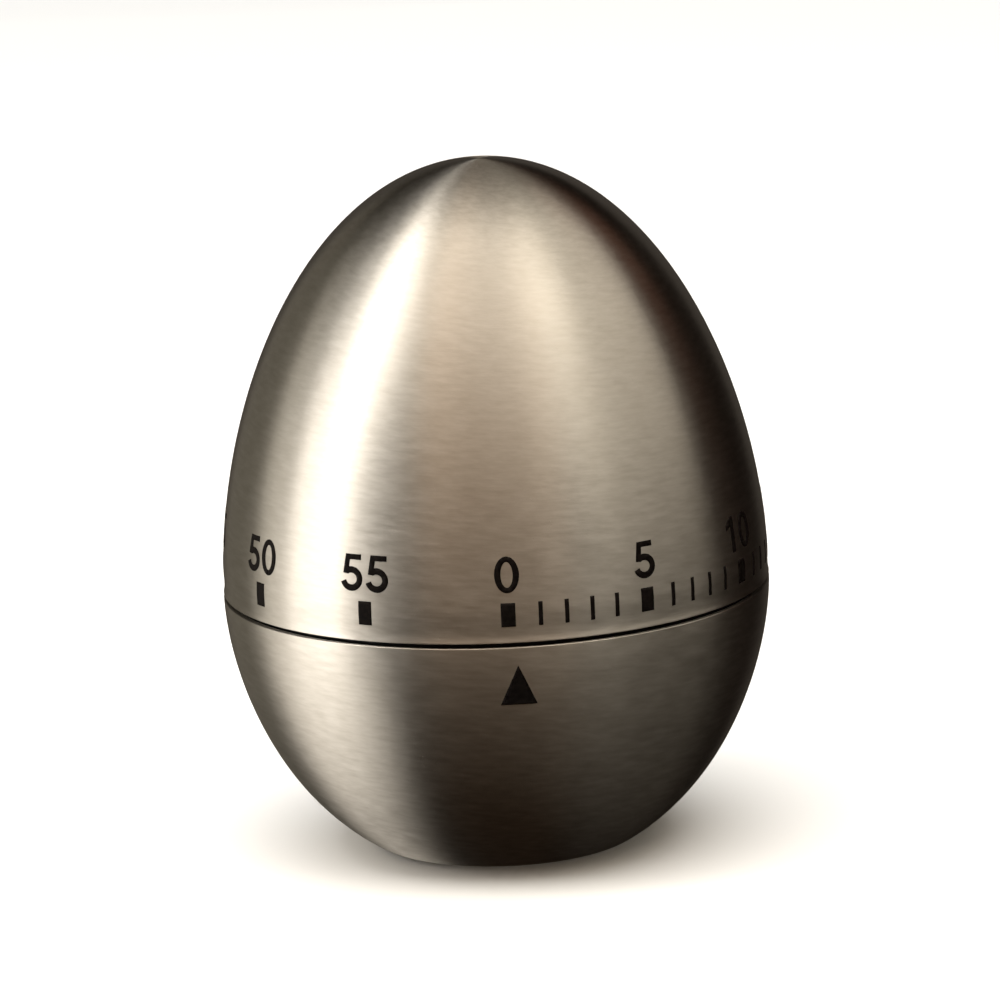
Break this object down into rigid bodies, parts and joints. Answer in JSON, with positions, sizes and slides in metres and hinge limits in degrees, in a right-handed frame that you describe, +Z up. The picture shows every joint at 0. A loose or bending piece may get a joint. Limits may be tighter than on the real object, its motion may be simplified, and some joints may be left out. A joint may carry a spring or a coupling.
{
  "type": "kitchen timer",
  "caption": "Egg-shaped mechanical kitchen timer in brushed steel: the upper shell turns as a dial marked in minutes, over a clockwork movement with a bell.",
  "frame": {"origin": "centre of the foot's underside, on the dial's axis", "axes": "+Z up along the dial's axis; the pointer on the lower shell faces -Y; +X to its right"},
  "size_m": [0.06, 0.06, 0.076],
  "materials": {
    "brushed_shell": "satin, brushed round the axis",
    "black_plastic": "moulded matte",
    "nylon": "moulded matte",
    "foot_rubber": "matte",
    "brass": "stamped, lightly brushed",
    "plated_steel": "nickel plated",
    "bell_steel": "nickel plated, spun",
    "spring_steel": "blued spring temper"
  },
  "bodies": {
    "case": {"lower_shell": "brushed_shell", "housing": "black_plastic", "base_cap": "black_plastic", "foot_ring": "foot_rubber", "glide_ring": "nylon", "base_screw_1": "plated_steel", "base_screw_2": "plated_steel", "base_screw_3": "plated_steel", "bell": "bell_steel", "bell_screw": "plated_steel", "bottom_plate": "brass", "top_plate": "brass", "main_bush": "brass", "pillar_1": "plated_steel", "pillar_2": "plated_steel", "pillar_3": "plated_steel", "pillar_4": "plated_steel", "pillar_screw_1": "plated_steel", "pillar_screw_2": "plated_steel", "pillar_screw_3": "plated_steel", "pillar_screw_4": "plated_steel", "movement_screw_1": "plated_steel", "movement_screw_2": "plated_steel", "movement_screw_3": "plated_steel", "spring_post": "plated_steel", "mainspring": "spring_steel", "hammer_spring": "spring_steel"},
    "dial": {"upper_shell": "brushed_shell", "dial_carrier": "black_plastic", "main_arbor": "plated_steel", "arbor_washer": "plated_steel", "arbor_screw": "plated_steel", "alarm_cam": "nylon", "clutch_washer": "spring_steel", "drive_wheel": "brass"},
    "second": {"second_pinion": "plated_steel", "second_wheel": "brass"},
    "third": {"third_pinion": "plated_steel", "third_wheel": "brass"},
    "escape": {"escape_pinion": "plated_steel", "escape_wheel": "brass"},
    "pallet": {"pallet_arbor": "plated_steel", "pallet_lever": "plated_steel", "pallet_pin_1": "plated_steel", "pallet_pin_2": "plated_steel", "balance_bar": "brass"},
    "hammer": {"hammer_arbor": "plated_steel", "hammer_arm": "plated_steel", "hammer_head": "brass", "hammer_tail": "plated_steel"}
  },
  "joints": [
    {"name": "dial_turn", "type": "hinge", "parent": "case", "child": "dial", "pos_m": [0, 0, 0.02], "axis": [0, 0, -1], "range_deg": [0, 360]},
    {"name": "second_spin", "type": "hinge", "parent": "case", "child": "second", "pos_m": [-0.01102, -0.00401, 0.02], "axis": [0, 0, -1], "continuous": true},
    {"name": "third_spin", "type": "hinge", "parent": "case", "child": "third", "pos_m": [-0.00472, -0.01103, 0.02], "axis": [0, 0, -1], "continuous": true},
    {"name": "escape_spin", "type": "hinge", "parent": "case", "child": "escape", "pos_m": [0.00444, -0.01328, 0.02], "axis": [0, 0, -1], "continuous": true},
    {"name": "pallet_rock", "type": "hinge", "parent": "case", "child": "pallet", "pos_m": [0.01082, -0.01039, 0.02], "axis": [0, 0, -1], "range_deg": [-7, 7]},
    {"name": "hammer_swing", "type": "hinge", "parent": "case", "child": "hammer", "pos_m": [0.01438, 0.0083, 0.02], "axis": [0, 0, 1], "range_deg": [-4, 6.5], "stiffness_Nm_per_rad": 0.0005}
  ],
  "couplings": [
    {"joint": "second_spin", "follows": "dial_turn", "ratio": -7.5},
    {"joint": "third_spin", "follows": "dial_turn", "ratio": 56.25},
    {"joint": "escape_spin", "follows": "dial_turn", "ratio": -421.88}
  ]
}
